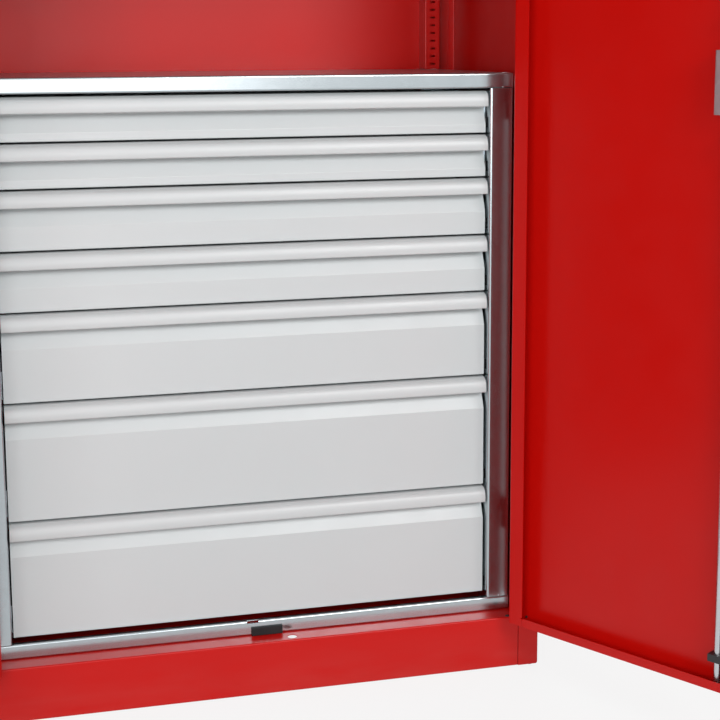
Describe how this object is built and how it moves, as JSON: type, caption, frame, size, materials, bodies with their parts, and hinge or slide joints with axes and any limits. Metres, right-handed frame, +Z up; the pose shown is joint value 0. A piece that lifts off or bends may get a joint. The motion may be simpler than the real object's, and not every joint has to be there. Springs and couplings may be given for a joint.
{
  "type": "roll front tool cabinet",
  "caption": "Tall two-door steel tool cabinet: drawers with rolled full-width handle fronts in a galvanised frame, shelves above, plinth below, rod lock on one door.",
  "frame": {"origin": "on the floor, under the middle of the carcass, midway between the side panels and midway between the front and the back; the floor anchor holes are centred on it, 3 mm up", "axes": "+Z up, -Y towards the front, +X towards the door that carries the lock"},
  "size_m": [1.3946, 0.9337, 1.95],
  "materials": {
    "red_coat": "semi-gloss powder coat",
    "grey_coat": "satin powder coat",
    "galvanised": "galvanised sheet",
    "zinc_parts": "zinc plated",
    "black_plastic": "matt",
    "black_rubber": "matt"
  },
  "bodies": {
    "cabinet": {"side_panel_right": "red_coat", "side_panel_left": "red_coat", "floor_panel": "red_coat", "plinth_rear": "red_coat", "levelling_feet": "zinc_parts", "back_panel": "red_coat", "top_panel": "red_coat", "hinge_posts": "red_coat", "door_buffer": "black_rubber", "block_side_right": "galvanised", "block_side_left": "galvanised", "block_top_rail": "galvanised", "block_bottom_rail": "galvanised", "block_rear_rails": "galvanised", "block_cover": "galvanised", "cabinet_runners": "galvanised", "shelf_uprights": "red_coat", "shelf_clips": "zinc_parts", "shelves": "galvanised"},
    "door_right": {"door_right": "red_coat", "hinge_sleeves_right": "red_coat", "lock_case": "galvanised", "handle_plate": "black_plastic", "key_cylinder": "zinc_parts", "rod_guides": "black_plastic"},
    "door_left": {"door_left": "red_coat", "hinge_sleeves_left": "red_coat", "overlap_strip": "red_coat"},
    "handle": {"handle_lever": "black_plastic", "lock_spindle": "zinc_parts"},
    "rod_lower": {"lock_rod_lower": "zinc_parts"},
    "rod_upper": {"lock_rod_upper": "zinc_parts"},
    "drawer_1": {"drawer_front_1": "grey_coat", "drawer_box_1": "grey_coat", "drawer_rails_1": "galvanised"},
    "slide_1": {"middle_rails_1": "galvanised"},
    "drawer_2": {"drawer_front_2": "grey_coat", "drawer_box_2": "grey_coat", "drawer_rails_2": "galvanised"},
    "slide_2": {"middle_rails_2": "galvanised"},
    "drawer_3": {"drawer_front_3": "grey_coat", "drawer_box_3": "grey_coat", "drawer_rails_3": "galvanised"},
    "slide_3": {"middle_rails_3": "galvanised"},
    "drawer_4": {"drawer_front_4": "grey_coat", "drawer_box_4": "grey_coat", "drawer_rails_4": "galvanised"},
    "slide_4": {"middle_rails_4": "galvanised"},
    "drawer_5": {"drawer_front_5": "grey_coat", "drawer_box_5": "grey_coat", "drawer_rails_5": "galvanised"},
    "slide_5": {"middle_rails_5": "galvanised"},
    "drawer_6": {"drawer_front_6": "grey_coat", "drawer_box_6": "grey_coat", "drawer_rails_6": "galvanised"},
    "slide_6": {"middle_rails_6": "galvanised"},
    "drawer_7": {"drawer_front_7": "grey_coat", "drawer_box_7": "grey_coat", "drawer_rails_7": "galvanised"},
    "slide_7": {"middle_rails_7": "galvanised"}
  },
  "joints": [
    {"name": "door_right_hinge", "type": "hinge", "parent": "cabinet", "child": "door_right", "pos_m": [0.463, -0.257, 0], "axis": [0, 0, 1], "range_deg": [-121.5, 0]},
    {"name": "door_left_hinge", "type": "hinge", "parent": "cabinet", "child": "door_left", "pos_m": [-0.463, -0.257, 0], "axis": [0, 0, -1], "range_deg": [-121.5, 0]},
    {"name": "handle_turn", "type": "hinge", "parent": "door_right", "child": "handle", "pos_m": [0.67073, -0.60939, 1.045], "axis": [-0.8526, -0.5225, 0], "range_deg": [0, 90]},
    {"name": "rod_lower_slide", "type": "slide", "parent": "door_right", "child": "rod_lower", "axis": [0, 0, -1], "range_m": [0, 0.022]},
    {"name": "rod_upper_slide", "type": "slide", "parent": "door_right", "child": "rod_upper", "axis": [0, 0, 1], "range_m": [0, 0.022]},
    {"name": "drawer_1_slide", "type": "slide", "parent": "cabinet", "child": "drawer_1", "axis": [0, -1, 0], "range_m": [0, 0.39]},
    {"name": "slide_1_slide", "type": "slide", "parent": "cabinet", "child": "slide_1", "axis": [0, -1, 0], "range_m": [0, 0.195]},
    {"name": "drawer_2_slide", "type": "slide", "parent": "cabinet", "child": "drawer_2", "axis": [0, -1, 0], "range_m": [0, 0.39]},
    {"name": "slide_2_slide", "type": "slide", "parent": "cabinet", "child": "slide_2", "axis": [0, -1, 0], "range_m": [0, 0.195]},
    {"name": "drawer_3_slide", "type": "slide", "parent": "cabinet", "child": "drawer_3", "axis": [0, -1, 0], "range_m": [0, 0.39]},
    {"name": "slide_3_slide", "type": "slide", "parent": "cabinet", "child": "slide_3", "axis": [0, -1, 0], "range_m": [0, 0.195]},
    {"name": "drawer_4_slide", "type": "slide", "parent": "cabinet", "child": "drawer_4", "axis": [0, -1, 0], "range_m": [0, 0.39]},
    {"name": "slide_4_slide", "type": "slide", "parent": "cabinet", "child": "slide_4", "axis": [0, -1, 0], "range_m": [0, 0.195]},
    {"name": "drawer_5_slide", "type": "slide", "parent": "cabinet", "child": "drawer_5", "axis": [0, -1, 0], "range_m": [0, 0.39]},
    {"name": "slide_5_slide", "type": "slide", "parent": "cabinet", "child": "slide_5", "axis": [0, -1, 0], "range_m": [0, 0.195]},
    {"name": "drawer_6_slide", "type": "slide", "parent": "cabinet", "child": "drawer_6", "axis": [0, -1, 0], "range_m": [0, 0.39]},
    {"name": "slide_6_slide", "type": "slide", "parent": "cabinet", "child": "slide_6", "axis": [0, -1, 0], "range_m": [0, 0.195]},
    {"name": "drawer_7_slide", "type": "slide", "parent": "cabinet", "child": "drawer_7", "axis": [0, -1, 0], "range_m": [0, 0.39]},
    {"name": "slide_7_slide", "type": "slide", "parent": "cabinet", "child": "slide_7", "axis": [0, -1, 0], "range_m": [0, 0.195]}
  ],
  "couplings": [
    {"joint": "handle_turn", "follows": "rod_lower_slide", "rad_per_m": 71.4},
    {"joint": "rod_upper_slide", "follows": "rod_lower_slide", "ratio": 1},
    {"joint": "slide_1_slide", "follows": "drawer_1_slide", "ratio": 0.5},
    {"joint": "slide_2_slide", "follows": "drawer_2_slide", "ratio": 0.5},
    {"joint": "slide_3_slide", "follows": "drawer_3_slide", "ratio": 0.5},
    {"joint": "slide_4_slide", "follows": "drawer_4_slide", "ratio": 0.5},
    {"joint": "slide_5_slide", "follows": "drawer_5_slide", "ratio": 0.5},
    {"joint": "slide_6_slide", "follows": "drawer_6_slide", "ratio": 0.5},
    {"joint": "slide_7_slide", "follows": "drawer_7_slide", "ratio": 0.5}
  ]
}
